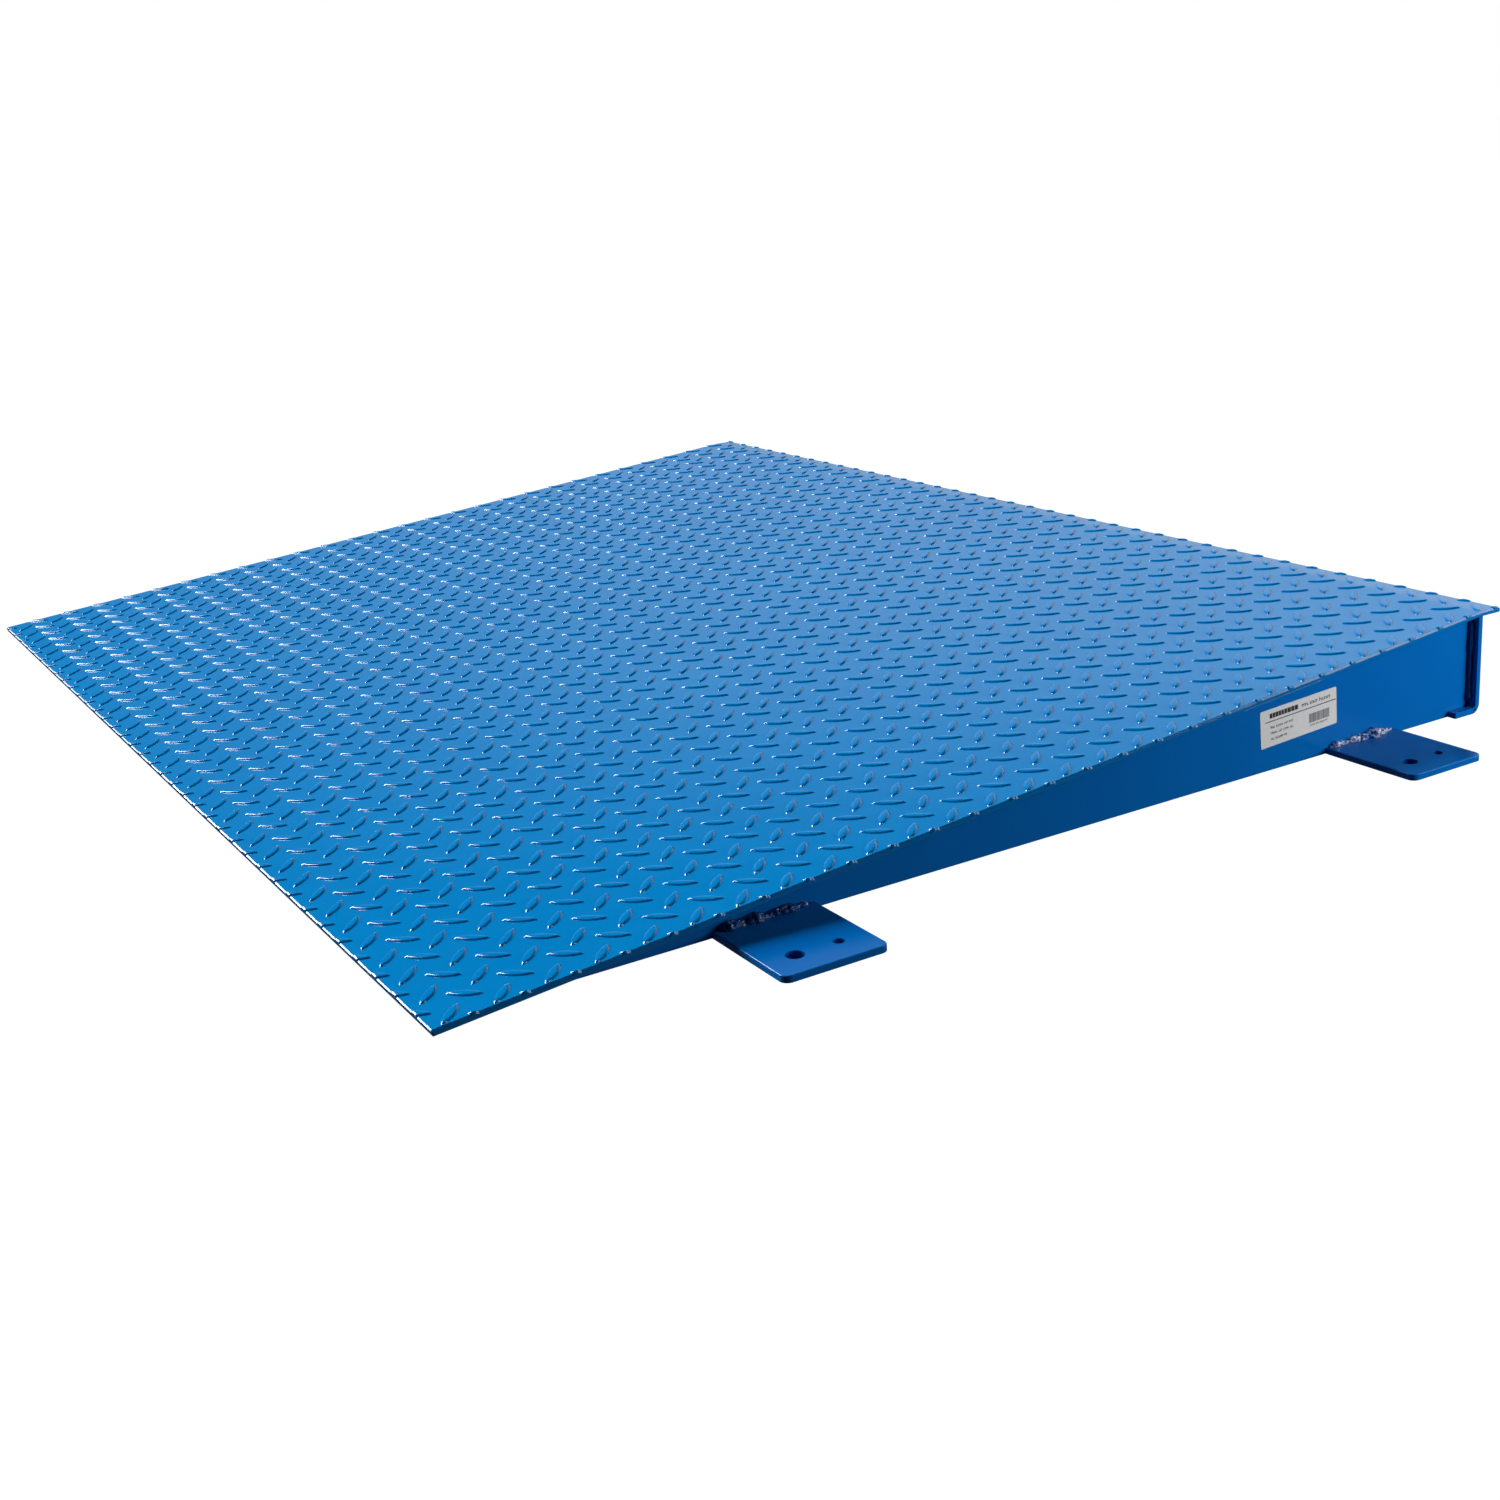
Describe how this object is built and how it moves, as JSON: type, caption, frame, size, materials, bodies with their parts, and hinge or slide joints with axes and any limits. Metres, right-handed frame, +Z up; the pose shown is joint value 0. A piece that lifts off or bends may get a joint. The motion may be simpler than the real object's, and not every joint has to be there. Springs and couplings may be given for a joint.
{
  "type": "floor scale ramp",
  "caption": "Drive-on ramp for a low floor scale: tread-plate deck on a welded steel frame, with anchor tabs at the sides.",
  "frame": {"origin": "centre of the ramp's footprint, on the floor", "axes": "+X across the ramp, +Y up the slope towards the high rear end that meets the scale, +Z up"},
  "size_m": [1.3556, 0.9144, 0.0889],
  "materials": {
    "deck_paint": "gloss",
    "frame_paint": "gloss",
    "weld_paint": "gloss",
    "label": "satin"
  },
  "bodies": {
    "root": {"deck_plate": "deck_paint", "rear_member": "frame_paint", "side_plate_right": "frame_paint", "side_plate_left": "frame_paint", "rib_1": "frame_paint", "rib_2": "frame_paint", "rib_3": "frame_paint", "rib_4": "frame_paint", "anchor_tab_front_left": "frame_paint", "anchor_tab_front_right": "frame_paint", "anchor_tab_rear_left": "frame_paint", "anchor_tab_rear_right": "frame_paint", "tab_weld_front_left": "weld_paint", "tab_weld_front_right": "weld_paint", "tab_weld_rear_left": "weld_paint", "tab_weld_rear_right": "weld_paint", "side_deck_weld_left": "weld_paint", "side_deck_weld_right": "weld_paint", "side_rear_weld_left": "weld_paint", "side_rear_weld_right": "weld_paint", "rib_weld_1": "weld_paint", "rib_weld_2": "weld_paint", "rib_weld_3": "weld_paint", "rib_weld_4": "weld_paint", "rear_deck_weld": "weld_paint", "label": "label"}
  },
  "joints": []
}
